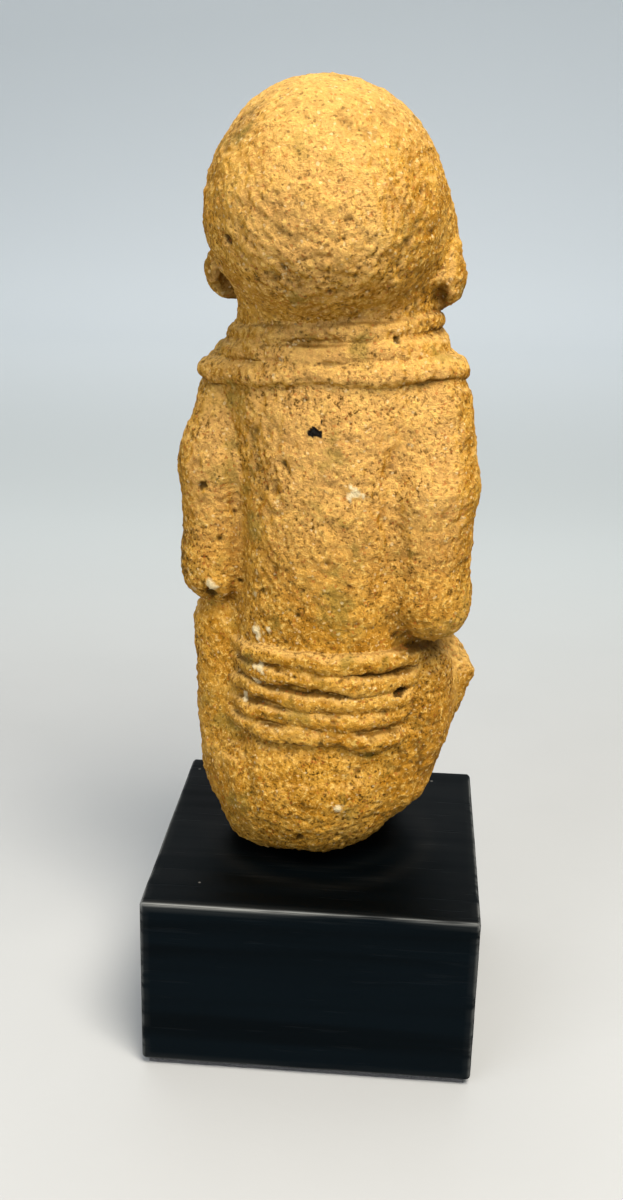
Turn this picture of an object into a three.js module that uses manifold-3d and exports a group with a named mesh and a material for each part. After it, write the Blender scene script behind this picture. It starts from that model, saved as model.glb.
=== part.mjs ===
// A kneeling figure of hand-modelled fired clay on a square block of black wood.
// Millimetres, +Z up. The origin is the centre of the felt's underside. The figure's face looks along -Y.
import * as THREE from "three";
import { mergeVertices } from "three/addons/utils/BufferGeometryUtils.js";
import Module from "manifold-3d";

const wasm = await Module();
wasm.setup();

// ---- Driving dimensions ----

const GAP = 0.3; // between two pieces that touch
const MERGE_DISTANCE = 1e-4;
const degrees = THREE.MathUtils.degToRad;
const SIDES = { left: 1, right: -1 }; // the figure's own left is +X

// Base
const BLOCK_SIDE = 50.8;
const BLOCK_HEIGHT = 27.7;
const BLOCK_EDGE_RADIUS = 0.6;
const FELT_THICKNESS = 1;
const FELT_INSET = 1;
const BLOCK_TOP = FELT_THICKNESS + BLOCK_HEIGHT;

// Pin and the socket that slides over it
const PIN_RADIUS = 1.6;
const PIN_IN_BLOCK = 20;
const PIN_IN_FIGURE = 28;
const PIN_CHAMFER = 0.5;
const SLEEVE_WALL = 0.5;
const SLEEVE_INNER_RADIUS = PIN_RADIUS + GAP;
const SLEEVE_OUTER_RADIUS = SLEEVE_INNER_RADIUS + SLEEVE_WALL;
const SLEEVE_BOTTOM = 0.4;
const SLEEVE_TOP = PIN_IN_FIGURE + 1;
const FILL_INNER_RADIUS = SLEEVE_OUTER_RADIUS + GAP;
const FILL_OUTER_RADIUS = FILL_INNER_RADIUS + 1.5;
const FILL_TOP = SLEEVE_TOP + 3;
const DRILLED_RADIUS = FILL_OUTER_RADIUS + GAP;
const DRILLED_DEPTH = FILL_TOP + GAP;

// Figure, in its own frame: the foot stands on Z = 0 and the pin's axis is X = Y = 0
const FIGURE_TURN = degrees(-14);
const TORSO_DEPTH_RATIO = 0.8; // depth over width
const TORSO_BACK_SHIFT = 1;
// Half-width of the torso at each height, from the foot to the top of the neck.
const TORSO_OUTLINE = [
  [9, 0],
  [13, 1.2],
  [15.5, 4],
  [16.4, 9],
  [16, 16],
  [15.2, 24],
  [14.8, 34],
  [15, 43],
  [15.5, 53],
  [16.3, 62],
  [17.3, 70],
  [17.6, 74.4],
  [17, 77.4],
  [15.6, 80.3],
  [14.9, 83.5],
  [14.6, 88],
];
const BELLY = { centre: [0, -8, 37], radii: [11, 9.5, 13.5] };
const BREAST = { centre: [6.4, -11, 59], radii: [4.6, 4.2, 5] };
const SEAT = { centre: [0, 7, 11], radii: [11.5, 8.6, 10.4] };

// Head, in a frame at the middle of the cranium that is tilted back with it
const HEAD_CENTRE = [-0.6, 7, 100.2];
const HEAD_TILT = degrees(-10);
const CRANIUM_RADII = [16.1, 16.2, 16];
const FACE = { centre: [0, -6.5, -5], radii: [14.6, 13, 13] };
const CHIN = { centre: [0, -14, -12.5], radii: [6.5, 4.5, 4.5] };
const MOUTH = { centre: [0, -18.4, -11], radii: [3.8, 1.6, 1.4] };
const EYE = { centre: [5.4, -18.2, -2.6], radii: [3, 1.8, 1.6] };
const NOSE_BRIDGE = { centre: [0, -18.4, -1], radius: 1.3 };
const NOSE_TIP = { centre: [0, -19.8, -6.4], radius: 2.1 };

// Limbs of the figure's left side; the right side's are their mirror image, apart from what differs
const EAR_TOP = { centre: [14.4, 1.8, 97.2], radius: 3.3 };
const EAR_LOBE = { centre: [15.1, 0.6, 90.6], radius: 4.1 };
const SHOULDER = { centre: [15.6, 4.2, 68.5], radius: 6.3 };
const ELBOW = {
  left: { centre: [16.5, 4, 45.6], radius: 5.8 },
  right: { centre: [17.1, 4, 43.6], radius: 5.8 },
};
const FOREARM_RADIUS = 5.2;
const WRIST = { centre: [13.4, -13.5, 36.5], radius: 3.8 };
const HAND = { centre: [13.6, -16.5, 34.4], radii: [4.2, 5.4, 2.9] };
const HAUNCH = {
  left: { centre: [12.3, 1, 18], radii: [8.2, 9.6, 18] },
  right: { centre: [12.3, 1, 20.4], radii: [8.2, 9.6, 17.4] },
};
const HIP = { centre: [11.8, -1, 20], radius: 8 };
const KNEE = { centre: [13.8, -15.6, 25.4], radius: 6 };
const ANKLE = { centre: [6.4, -8.5, 5.5], radius: 4.5 };
const FOOT = { centre: [6, -10.5, 3.7], radii: [4.5, 7.6, 3.5] };

const NECK_COIL_RADIUS = 1.4;
const NECK_RING_HEIGHTS = [82.9, 79.7, 76.4];
const WAIST_COIL_RADIUS = 1.35;
const WAIST_COIL_PITCH = 2 * WAIST_COIL_RADIUS + GAP;
const WAIST_RINGS = 5;
const WAIST_TOP_RING_HEIGHT = 34.6;

// Smoothness of the round shapes
const ROUND_SIDES = 18;
const LIMB_SIDES = 14;
const LIMB_END_STEPS = 3;
const COIL_SIDES = 6;
const COIL_STEPS = 28;
const TORSO_SIDES = 28;
const TORSO_STEPS = 18;

// ---- Geometry helpers ----

// A closed geometry as a manifold-3d solid.
function solidOf(geometry) {
  const plain = geometry.index ? geometry.toNonIndexed() : geometry.clone();
  plain.deleteAttribute("normal");
  plain.deleteAttribute("uv");
  const merged = mergeVertices(plain, MERGE_DISTANCE);
  const mesh = new wasm.Mesh({
    numProp: 3,
    vertProperties: merged.attributes.position.array,
    triVerts: new Uint32Array(merged.index.array),
  });
  return new wasm.Manifold(mesh);
}

// The largest of the separate bodies that a cut leaves.
function largestBody(solid) {
  const bodies = solid.decompose();
  bodies.sort((a, b) => b.volume() - a.volume());
  return bodies[0];
}

function geometryOf(solid) {
  const { vertProperties, triVerts } = largestBody(solid).getMesh();
  const geometry = new THREE.BufferGeometry();
  geometry.setAttribute("position", new THREE.BufferAttribute(vertProperties, 3));
  geometry.setIndex(new THREE.BufferAttribute(triVerts, 1));
  geometry.computeVertexNormals();
  return geometry;
}

function join(solids) {
  return solids.reduce((whole, solid) => whole.add(solid));
}

function cut(solid, tools) {
  return tools.reduce((rest, tool) => rest.subtract(tool), solid);
}

function mesh(name, geometry, color, roughness, metalness = 0) {
  const material = new THREE.MeshStandardMaterial({ color, roughness, metalness });
  const made = new THREE.Mesh(geometry, material);
  made.name = name;
  return made;
}

// A profile of [radius, height] points turned about Z.
function turned(profile, sides) {
  const points = profile.map(([radius, height]) => new THREE.Vector2(radius, height));
  return new THREE.LatheGeometry(points, sides).rotateX(Math.PI / 2);
}

function rod(radius, bottom, top, sides = ROUND_SIDES) {
  const profile = [
    [0, bottom],
    [radius, bottom],
    [radius, top],
    [0, top],
  ];
  return turned(profile, sides);
}

// The same shape on the given side of the body.
function onSide(label, shape) {
  const [x, y, z] = shape.centre;
  return { ...shape, centre: [SIDES[label] * x, y, z] };
}

// A shape of the head's own frame, in the figure's frame.
function onHead(shape) {
  const tilt = new THREE.Euler(HEAD_TILT, 0, 0);
  const place = new THREE.Vector3(...shape.centre).applyEuler(tilt);
  return { ...shape, centre: place.add(new THREE.Vector3(...HEAD_CENTRE)).toArray() };
}

// An ellipsoid, made larger all round by grow.
function ellipsoid({ centre, radii }, grow = 0) {
  const [x, y, z] = radii.map((radius) => radius + grow);
  const ball = new THREE.SphereGeometry(1, ROUND_SIDES, ROUND_SIDES / 2);
  return solidOf(ball.rotateX(Math.PI / 2).scale(x, y, z).translate(...centre));
}

// A quarter circle of a profile that is turned about its second axis.
function quarterCircle(radius, middle, fromAngle) {
  const points = [];
  for (let step = 0; step <= LIMB_END_STEPS; step += 1) {
    const angle = fromAngle + (Math.PI / 2) * (step / LIMB_END_STEPS);
    points.push(new THREE.Vector2(radius * Math.cos(angle), middle + radius * Math.sin(angle)));
  }
  return points;
}

// A limb with round ends, from one centre and radius to another.
function limb(start, end, grow = 0) {
  const from = new THREE.Vector3(...start.centre);
  const along = new THREE.Vector3(...end.centre).sub(from);
  const profile = [
    ...quarterCircle(start.radius + grow, 0, -Math.PI / 2),
    ...quarterCircle(end.radius + grow, along.length(), 0),
  ];
  profile[0].x = 0;
  profile[profile.length - 1].x = 0;
  const turn = new THREE.Quaternion().setFromUnitVectors(new THREE.Vector3(0, 1, 0), along.normalize());
  const geometry = new THREE.LatheGeometry(profile, LIMB_SIDES).applyQuaternion(turn);
  return solidOf(geometry.translate(...start.centre));
}

// ---- Base ----

function baseBlock() {
  const half = BLOCK_SIDE / 2 - BLOCK_EDGE_RADIUS;
  const outline = new THREE.Shape();
  outline.moveTo(-half, -half);
  outline.lineTo(half, -half);
  outline.lineTo(half, half);
  outline.lineTo(-half, half);
  outline.closePath();
  const geometry = new THREE.ExtrudeGeometry(outline, {
    depth: BLOCK_HEIGHT - 2 * BLOCK_EDGE_RADIUS,
    bevelSize: BLOCK_EDGE_RADIUS,
    bevelThickness: BLOCK_EDGE_RADIUS,
    bevelSegments: 2,
  });
  const block = solidOf(geometry.translate(0, 0, FELT_THICKNESS + BLOCK_EDGE_RADIUS));
  const hole = solidOf(rod(PIN_RADIUS + GAP, BLOCK_TOP - PIN_IN_BLOCK - GAP, BLOCK_TOP + 1));
  return mesh("base_block", geometryOf(block.subtract(hole)), 0x0b0c0d, 0.35);
}

function baseFelt() {
  const side = BLOCK_SIDE - 2 * FELT_INSET;
  const thickness = FELT_THICKNESS - GAP;
  const geometry = new THREE.BoxGeometry(side, side, thickness).translate(0, 0, thickness / 2);
  return mesh("base_felt", geometry, 0x14161a, 0.95);
}

function mountingPin() {
  const bottom = BLOCK_TOP - PIN_IN_BLOCK;
  const top = BLOCK_TOP + PIN_IN_FIGURE;
  const profile = [
    [0, bottom],
    [PIN_RADIUS - PIN_CHAMFER, bottom],
    [PIN_RADIUS, bottom + PIN_CHAMFER],
    [PIN_RADIUS, top - PIN_CHAMFER],
    [PIN_RADIUS - PIN_CHAMFER, top],
    [0, top],
  ];
  return mesh("mounting_pin", turned(profile, ROUND_SIDES), 0x9a9b9c, 0.3, 1);
}

// ---- Socket in the figure ----

function socketSleeve() {
  const profile = [
    [SLEEVE_INNER_RADIUS, SLEEVE_BOTTOM],
    [SLEEVE_OUTER_RADIUS, SLEEVE_BOTTOM],
    [SLEEVE_OUTER_RADIUS, SLEEVE_TOP],
    [SLEEVE_INNER_RADIUS, SLEEVE_TOP],
    [SLEEVE_INNER_RADIUS, SLEEVE_BOTTOM],
  ];
  return mesh("socket_sleeve", turned(profile, ROUND_SIDES), 0xb08d45, 0.35, 1);
}

function socketFill() {
  const ceiling = SLEEVE_TOP + GAP;
  const profile = [
    [0, ceiling],
    [FILL_INNER_RADIUS, ceiling],
    [FILL_INNER_RADIUS, SLEEVE_BOTTOM],
    [FILL_OUTER_RADIUS, SLEEVE_BOTTOM],
    [FILL_OUTER_RADIUS, FILL_TOP],
    [0, FILL_TOP],
  ];
  return mesh("socket_fill", turned(profile, ROUND_SIDES), 0xd9d2c2, 0.9);
}

// ---- Clay members, each as a solid that can be grown all round to cut clearance from its neighbours ----

const torsoPoints = TORSO_OUTLINE.map(([radius, height]) => new THREE.Vector2(radius, height));
const torsoCurve = new THREE.SplineCurve(torsoPoints);

function torsoHalfWidth(height) {
  const points = torsoCurve.getPoints(10 * TORSO_STEPS);
  const above = points.findIndex((point) => point.y >= height);
  return points[above].x;
}

function torsoSolid(grow = 0) {
  const outline = torsoCurve.getPoints(TORSO_STEPS).map(({ x, y }) => [x + grow, y]);
  outline[0][1] -= grow;
  outline[TORSO_STEPS][1] += grow;
  const profile = [[0, outline[0][1]], ...outline, [0, outline[TORSO_STEPS][1]]];
  const core = turned(profile, TORSO_SIDES).scale(1, TORSO_DEPTH_RATIO, 1);
  return join([
    solidOf(core.translate(0, TORSO_BACK_SHIFT, 0)),
    ellipsoid(BELLY, grow),
    ellipsoid(onSide("left", BREAST), grow),
    ellipsoid(onSide("right", BREAST), grow),
    ellipsoid(SEAT, grow),
  ]);
}

function headSolid(grow = 0) {
  return join([
    ellipsoid({ centre: HEAD_CENTRE, radii: CRANIUM_RADII }, grow),
    ellipsoid(onHead(FACE), grow),
    ellipsoid(onHead(CHIN), grow),
  ]);
}

function earSolid(label) {
  return limb(onSide(label, EAR_TOP), onSide(label, EAR_LOBE));
}

function legSolid(label, grow = 0) {
  const [hip, knee, ankle, foot] = [HIP, KNEE, ANKLE, FOOT].map((shape) => onSide(label, shape));
  return join([
    ellipsoid(onSide(label, HAUNCH[label]), grow),
    limb(hip, knee, grow),
    limb(knee, ankle, grow),
    ellipsoid(foot, grow),
  ]);
}

function armSolid(label) {
  const shapes = [SHOULDER, ELBOW[label], WRIST, HAND];
  const [shoulder, elbow, wrist, hand] = shapes.map((shape) => onSide(label, shape));
  return join([
    limb(shoulder, elbow),
    limb({ ...elbow, radius: FOREARM_RADIUS }, wrist),
    ellipsoid(hand),
  ]);
}

// A clay coil that lies round the torso at a height.
function coilSolid(height, coilRadius) {
  const halfWidth = torsoHalfWidth(height);
  const ring = new THREE.TorusGeometry(halfWidth, coilRadius, COIL_SIDES, COIL_STEPS);
  return solidOf(ring.scale(1, TORSO_DEPTH_RATIO, 1).translate(0, TORSO_BACK_SHIFT, height));
}

const waistRingHeights = Array.from(
  { length: WAIST_RINGS },
  (_, i) => WAIST_TOP_RING_HEIGHT - i * WAIST_COIL_PITCH,
);

// The space that the belt takes up, for the legs to lie on.
function beltSolid(grow) {
  const lowestRing = waistRingHeights[WAIST_RINGS - 1];
  const margin = WAIST_COIL_RADIUS + grow;
  const radius = torsoHalfWidth(lowestRing) + margin;
  const top = WAIST_TOP_RING_HEIGHT + margin;
  const bottom = lowestRing - margin;
  const disc = rod(radius, bottom, top, TORSO_SIDES);
  return solidOf(disc.scale(1, TORSO_DEPTH_RATIO, 1).translate(0, TORSO_BACK_SHIFT, 0));
}

// ---- Assembly ----

const torsoRoom = torsoSolid(GAP);
const headRoom = headSolid(GAP);
const legRooms = [legSolid("left", GAP), legSolid("right", GAP)];
const neckRingRooms = NECK_RING_HEIGHTS.map((height) => coilSolid(height, NECK_COIL_RADIUS + GAP));
const CLAY = 0xc3934a;
const CLAY_ROUGHNESS = 0.95;

function clayPiece(name, solid) {
  return mesh(name, geometryOf(solid), CLAY, CLAY_ROUGHNESS);
}

function torso() {
  const drilled = solidOf(rod(DRILLED_RADIUS, -1, DRILLED_DEPTH));
  return clayPiece("torso", torsoSolid().subtract(drilled));
}

function faceFeatures() {
  return [
    clayPiece("nose", limb(onHead(NOSE_BRIDGE), onHead(NOSE_TIP)).subtract(headRoom)),
    clayPiece("mouth", ellipsoid(onHead(MOUTH)).subtract(headRoom)),
    clayPiece("left_eye", ellipsoid(onHead(onSide("left", EYE))).subtract(headRoom)),
    clayPiece("right_eye", ellipsoid(onHead(onSide("right", EYE))).subtract(headRoom)),
  ];
}

function figure() {
  const group = new THREE.Group();
  const belt = beltSolid(GAP);
  const neckRooms = [torsoRoom, ...neckRingRooms];
  group.add(torso(), clayPiece("head", cut(headSolid(), neckRooms)), ...faceFeatures());
  for (const label of Object.keys(SIDES)) {
    group.add(
      clayPiece(`${label}_ear`, cut(earSolid(label), [headRoom, ...neckRooms])),
      clayPiece(`${label}_leg`, cut(legSolid(label), [torsoRoom, belt])),
      clayPiece(`${label}_arm`, cut(armSolid(label), [...neckRooms, belt, ...legRooms])),
    );
  }
  NECK_RING_HEIGHTS.forEach((height, i) => {
    group.add(clayPiece(`neck_ring_${i + 1}`, coilSolid(height, NECK_COIL_RADIUS).subtract(torsoRoom)));
  });
  waistRingHeights.forEach((height, i) => {
    group.add(clayPiece(`waist_ring_${i + 1}`, coilSolid(height, WAIST_COIL_RADIUS).subtract(torsoRoom)));
  });
  group.add(socketSleeve(), socketFill());
  group.position.z = BLOCK_TOP + GAP;
  group.rotation.z = FIGURE_TURN;
  return group;
}

const part = new THREE.Group();
part.add(baseBlock(), baseFelt(), mountingPin(), figure());

export default part;
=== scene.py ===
"""A kneeling figure of coarse fired clay on a pin in a square block of black wood.

The figure is described by distance functions in its own frame, in millimetres: the foot stands on Z = 0,
the pin's axis is X = Y = 0 and the face looks along -Y. Each member that the maker pressed on becomes one
closed mesh.
"""

import math

import bpy
import numpy as np
from mathutils import Matrix, Vector


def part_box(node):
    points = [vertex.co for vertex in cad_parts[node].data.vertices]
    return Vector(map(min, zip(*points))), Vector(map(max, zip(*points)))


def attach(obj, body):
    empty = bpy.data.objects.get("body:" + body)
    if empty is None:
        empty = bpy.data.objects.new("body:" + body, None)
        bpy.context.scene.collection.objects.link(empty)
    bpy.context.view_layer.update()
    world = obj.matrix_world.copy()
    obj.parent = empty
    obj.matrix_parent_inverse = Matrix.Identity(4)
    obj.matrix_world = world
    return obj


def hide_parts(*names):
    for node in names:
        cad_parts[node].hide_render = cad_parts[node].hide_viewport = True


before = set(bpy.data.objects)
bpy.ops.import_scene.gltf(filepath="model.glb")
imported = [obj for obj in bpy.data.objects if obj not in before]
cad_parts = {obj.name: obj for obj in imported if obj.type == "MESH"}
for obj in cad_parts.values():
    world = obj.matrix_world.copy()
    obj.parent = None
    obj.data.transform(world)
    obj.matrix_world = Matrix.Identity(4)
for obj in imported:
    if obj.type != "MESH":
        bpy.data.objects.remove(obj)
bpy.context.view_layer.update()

MM = 0.001
BLOCK_LOW, BLOCK_HIGH = (np.array(corner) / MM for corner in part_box("base_block"))
BLOCK_TOP = BLOCK_HIGH[2]
FIGURE_TURN = math.radians(-14)
FIGURE_GAP = 0.3  # between the foot and the block
CELL = 0.3  # of the grid that the clay is meshed on
SIDES = {"left": 1, "right": -1}  # the figure's own left is +X


# ---- Distance functions: points are rows of x, y, z, and a distance is below zero inside ----


def length(vectors):
    return np.sqrt((vectors * vectors).sum(axis=1))


def ellipsoid(points, centre, radii):
    scaled = (points - np.float32(centre)) / np.float32(radii)
    reach = length(scaled)
    return reach * (reach - 1) / np.maximum(length(scaled / np.float32(radii)), 1e-6)


def limb(points, start, start_radius, end, end_radius):
    """A cone with round ends."""
    start, end = np.float32(start), np.float32(end)
    along = end - start
    size = float(along @ along)
    taper = start_radius - end_radius
    slant = size - taper * taper
    from_start = points - start
    forward = from_start @ along
    past_end = forward - size
    across = from_start * size - forward[:, None] * along
    across = (across * across).sum(axis=1)
    turn = math.copysign(taper * taper, taper) * across
    at_end = np.sqrt(across + past_end * past_end * size) / size - end_radius
    at_start = np.sqrt(across + forward * forward * size) / size - start_radius
    beside = (np.sqrt(across * slant / size) + forward * taper) / size - start_radius
    ends = np.where(np.sign(forward) * slant * forward * forward * size < turn, at_start, beside)
    return np.where(np.sign(past_end) * slant * past_end * past_end * size > turn, at_end, ends)


def smooth_min(a, b, width):
    near = np.maximum(width - np.abs(a - b), 0) / width
    return np.minimum(a, b) - near * near * width / 4


def smooth_max(a, b, width):
    return -smooth_min(-a, -b, width)


# ---- Smooth random fields ----


def lattice_values(cells, seed):
    """A random number from -1 to 1 for each whole-numbered cell."""
    mixed = cells[:, 0] * 73856093 ^ cells[:, 1] * 19349663 ^ cells[:, 2] * 83492791 ^ seed * 2654435761
    mixed = mixed.astype(np.uint64) & np.uint64(0xFFFFFFFF)
    for shift, factor in ((16, 0x7FEB352D), (15, 0x846CA68B)):
        mixed ^= mixed >> np.uint64(shift)
        mixed = (mixed * np.uint64(factor)) & np.uint64(0xFFFFFFFF)
    mixed ^= mixed >> np.uint64(16)
    return mixed.astype(np.float64) / 2147483647.5 - 1


def noise(points, size, seed):
    """Smooth noise from -1 to 1 whose lumps are about size millimetres across."""
    scaled = points.astype(np.float64) / size
    low = np.floor(scaled).astype(np.int64)
    part = scaled - low
    part = part * part * part * (part * (part * 6 - 15) + 10)
    total = np.zeros(len(points))
    for corner in range(8):
        step = np.array([corner & 1, corner >> 1 & 1, corner >> 2 & 1])
        weight = np.where(step, part, 1 - part).prod(axis=1)
        total += weight * lattice_values(low + step, seed)
    return total


def nearest_grain(points, size, seed):
    """Distance to the nearest of scattered grains, in grain sizes, and a random number for that grain."""
    scaled = points.astype(np.float64) / size
    low = np.floor(scaled).astype(np.int64)
    nearest = np.full(len(points), 9.0)
    value = np.zeros(len(points))
    for number in range(27):
        cell = low + np.array([number % 3, number // 3 % 3, number // 9]) - 1
        offset = np.stack([lattice_values(cell, seed + axis) for axis in range(3)], axis=1)
        distance = length(cell + 0.5 + 0.45 * offset - scaled)
        closer = distance < nearest
        nearest = np.where(closer, distance, nearest)
        value = np.where(closer, lattice_values(cell, seed + 3), value)
    return nearest, value


# ---- The figure's shape ----

# Height, half-width, half-depth, middle x and middle y of the torso.
TORSO = np.array([
    [-2.0, 8.0, 6.8, 5.2, 1.5],
    [0.5, 10.2, 8.2, 4.6, 1.6],
    [3.0, 12.6, 10.4, 2.8, 1.8],
    [7.0, 14.4, 12.4, 1.6, 1.8],
    [14.0, 15.6, 13.4, 0.6, 1.5],
    [24.0, 15.2, 12.6, -0.4, 1.0],
    [34.0, 14.6, 12.2, -0.8, 1.0],
    [43.0, 14.6, 12.6, -1.2, 1.0],
    [53.0, 14.8, 13.2, -1.4, 1.0],
    [62.0, 15.2, 13.6, -1.4, 1.0],
    [70.0, 16.4, 13.6, -1.0, 1.0],
    [74.4, 17.2, 13.2, -0.6, 1.0],
    [77.4, 16.6, 12.6, -0.9, 1.2],
    [80.5, 15.2, 11.8, -1.0, 1.6],
    [84.0, 14.4, 11.4, -0.8, 2.0],
    [90.0, 14.8, 11.4, -0.4, 2.2],
])
TORSO_TOP = 90.0
TORSO_SQUARENESS = 2.15  # 2 is an ellipse, and more is squarer
FOOT_ROUNDING = 3.0
TOP_ROUNDING = 2.0

# Lumps of the torso: middle and half-sizes. Those off the middle are given for the figure's left.
BELLY = (0, -7.5, 37), (11, 9.5, 13)
BREAST, BREAST_SIZE = (6.2, -10.2, 59), (4.6, 4.6, 5.2)
SEAT = (0.5, 6.2, 13), (11.5, 8.6, 9.4)
NAVEL = (0, -17.2, 38), (1.3, 1.6, 1.5)


def smooth_table(table, steps=12):
    """The same table with a smooth curve through its rows."""
    padded = np.vstack([2 * table[0] - table[1], table, 2 * table[-1] - table[-2]])
    rows = []
    for before, here, there, after in zip(padded, padded[1:], padded[2:], padded[3:]):
        for t in np.arange(steps) / steps:
            rows.append(0.5 * (2 * here + (there - before) * t
                               + (2 * before - 5 * here + 4 * there - after) * t ** 2
                               + (3 * here - before - 3 * there + after) * t ** 3))
    return np.array(rows + [table[-1]], dtype=np.float32)


TORSO_CURVE = smooth_table(TORSO)
HEAD_CENTRE = np.array([0.0, 7.3, 100.0])
HEAD_TILT = math.radians(-10)
FACE_TURN = np.array([
    [1, 0, 0],
    [0, math.cos(HEAD_TILT), -math.sin(HEAD_TILT)],
    [0, math.sin(HEAD_TILT), math.cos(HEAD_TILT)],
])


# The cranium and the lower head: how far their middles lie from the head's, and half-sizes.
CRANIUM, CRANIUM_SIZE = (-0.4, 0, 0.2), (15.8, 16.2, 15.9)
LOWER_HEAD, LOWER_HEAD_SIZE = (-0.5, -0.5, -3.4), (15.6, 14.5, 12)

# The face, in the tilted head's own frame: middle and half-sizes, or middle and radius.
FACE, FACE_SIZE = (0, -6.5, -5.4), (14.8, 13, 12.8)
CHIN, CHIN_SIZE = (0, -13.6, -14.6), (6.0, 4.6, 3.8)
EYE_SOCKET, EYE_SOCKET_SIZE = (5.6, -20.8, -2.6), (4.8, 2.7, 3.5)
EYE, EYE_SIZE = (5.4, -18.9, -3.3), (3.1, 2.2, 1.9)
EYE_SLIT, EYE_SLIT_SIZE = (5.4, -21.3, -3.5), (2.4, 1.2, 0.4)
NOSE_BRIDGE, NOSE_BRIDGE_RADIUS = (0, -19.5, -1.2), 1.2
NOSE_TIP, NOSE_TIP_RADIUS = (0, -20.8, -6.9), 2.1
MOUTH, MOUTH_SIZE = (0, -18.4, -12.1), (3.8, 2.2, 1.8)
MOUTH_SLIT, MOUTH_SLIT_SIZE = (0, -20.9, -12.1), (3.1, 1.2, 0.45)
SLIT_ROUNDING = 0.5


def mirrored(side, place):
    """The same place on the figure's left, where side is 1, or on its right, where side is -1."""
    return (side * place[0], *place[1:])


def on_head(place):
    """A place of the tilted head's own frame, in the figure's frame."""
    return FACE_TURN @ np.array(place) + HEAD_CENTRE


def torso_core(points):
    height = points[:, 2]
    heights, *columns = TORSO_CURVE.T
    width, depth, middle_x, middle_y = (np.interp(height, heights, column) for column in columns)
    across = np.abs(points[:, 0] - middle_x) / width
    through = np.abs(points[:, 1] - middle_y) / depth
    power = TORSO_SQUARENESS
    reach = (across ** power + through ** power) ** (1 / power)
    reach = np.maximum(reach, 1e-3)
    slope = reach ** (1 - power) * np.hypot(across ** (power - 1) / width, through ** (power - 1) / depth)
    side = (reach - 1) / np.maximum(slope, 1e-3)
    side = np.maximum(side, -np.minimum(width, depth))
    side = smooth_max(side, -height, FOOT_ROUNDING)
    return smooth_max(side, height - TORSO_TOP, TOP_ROUNDING)


def torso(points):
    distance = torso_core(points)
    distance = smooth_min(distance, ellipsoid(points, *BELLY), 4)
    for side in SIDES.values():
        distance = smooth_min(distance, ellipsoid(points, mirrored(side, BREAST), BREAST_SIZE), 2.5)
    distance = smooth_min(distance, ellipsoid(points, *SEAT), 4)
    return smooth_max(distance, -ellipsoid(points, *NAVEL), 1.0)


def head(points):
    distance = ellipsoid(points, HEAD_CENTRE + CRANIUM, CRANIUM_SIZE)
    distance = smooth_min(distance, ellipsoid(points, HEAD_CENTRE + LOWER_HEAD, LOWER_HEAD_SIZE), 5)
    distance = smooth_min(distance, ellipsoid(points, on_head(FACE), FACE_SIZE), 5)
    distance = smooth_min(distance, ellipsoid(points, on_head(CHIN), CHIN_SIZE), 3)
    for side in SIDES.values():
        socket = ellipsoid(points, on_head(mirrored(side, EYE_SOCKET)), EYE_SOCKET_SIZE)
        distance = smooth_max(distance, -socket, 2.0)
    return distance


def eye(points, side):
    """A pellet pressed flat, with a slit across it for the closed lids."""
    pellet = ellipsoid(points, on_head(mirrored(side, EYE)), EYE_SIZE)
    slit = ellipsoid(points, on_head(mirrored(side, EYE_SLIT)), EYE_SLIT_SIZE)
    return smooth_max(pellet, -slit, SLIT_ROUNDING)


def nose(points):
    return limb(points, on_head(NOSE_BRIDGE), NOSE_BRIDGE_RADIUS, on_head(NOSE_TIP), NOSE_TIP_RADIUS)


def mouth(points):
    """A pellet with a slit across it that parts the lips."""
    pellet = ellipsoid(points, on_head(MOUTH), MOUTH_SIZE)
    slit = ellipsoid(points, on_head(MOUTH_SLIT), MOUTH_SLIT_SIZE)
    return smooth_max(pellet, -slit, SLIT_ROUNDING)


EAR_TOP, EAR_TOP_RADIUS = (14.1, 1.8, 96.6), 3.1
EAR_LOBES = {"left": (16.0, 0.6, 89.4), "right": (-14.9, 0.6, 89.8)}
EAR_LOBE_RADIUS = 4.1
EAR_HOLLOW, EAR_HOLLOW_SIZE = (14.6, 5.6, 86.4), (3.6, 4.2, 3.6)


def ear(points, label):
    """A thick lug whose lower end overhangs a hollow."""
    side = SIDES[label]
    lug = limb(points, mirrored(side, EAR_TOP), EAR_TOP_RADIUS, EAR_LOBES[label], EAR_LOBE_RADIUS)
    hollow = ellipsoid(points, mirrored(side, EAR_HOLLOW), EAR_HOLLOW_SIZE)
    return smooth_max(lug, -hollow, 1.2)


# The arm's three upper places, each with its radius, on the figure's own left and right.
ARM_PLACES = {
    "left": (((14.2, 3.6, 72.0), 5.1), ((15.6, 4.6, 62.0), 6.6), ((16.5, 4.0, 45.6), 5.7)),
    "right": (((-16.2, 3.6, 72.6), 5.6), ((-16.6, 4.6, 61.0), 6.4), ((-17.1, 4.0, 43.6), 5.7)),
}
# Each haunch: its lower place and radius, then its upper ones.
HAUNCHES = {
    "left": ((11.4, 2.2, 11.8), 7.8, (14.6, 0.8, 35.0), 6.8),
    "right": ((-10.6, 1.4, 14.5), 7.6, (-12.8, -1.2, 29.5), 7.2),
}


# Places of the left limbs; the right ones mirror them.
WRIST = (13.4, -13.5, 36.5)
HAND, HAND_SIZE = (13.4, -16.6, 34.2), (4.2, 5.2, 2.8)
HIP = (11.8, -1, 21.5)
KNEE = (13.2, -15.6, 25.4)
KNEE_CORNER = (19.1, -13.2, 26.2)
CALF = (10.5, -8, 7)
ANKLE = (5.8, -8.5, 5.5)
FOOT, FOOT_SIZE = (5.4, -10.5, 3.7), (4.4, 7.6, 3.4)


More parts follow.
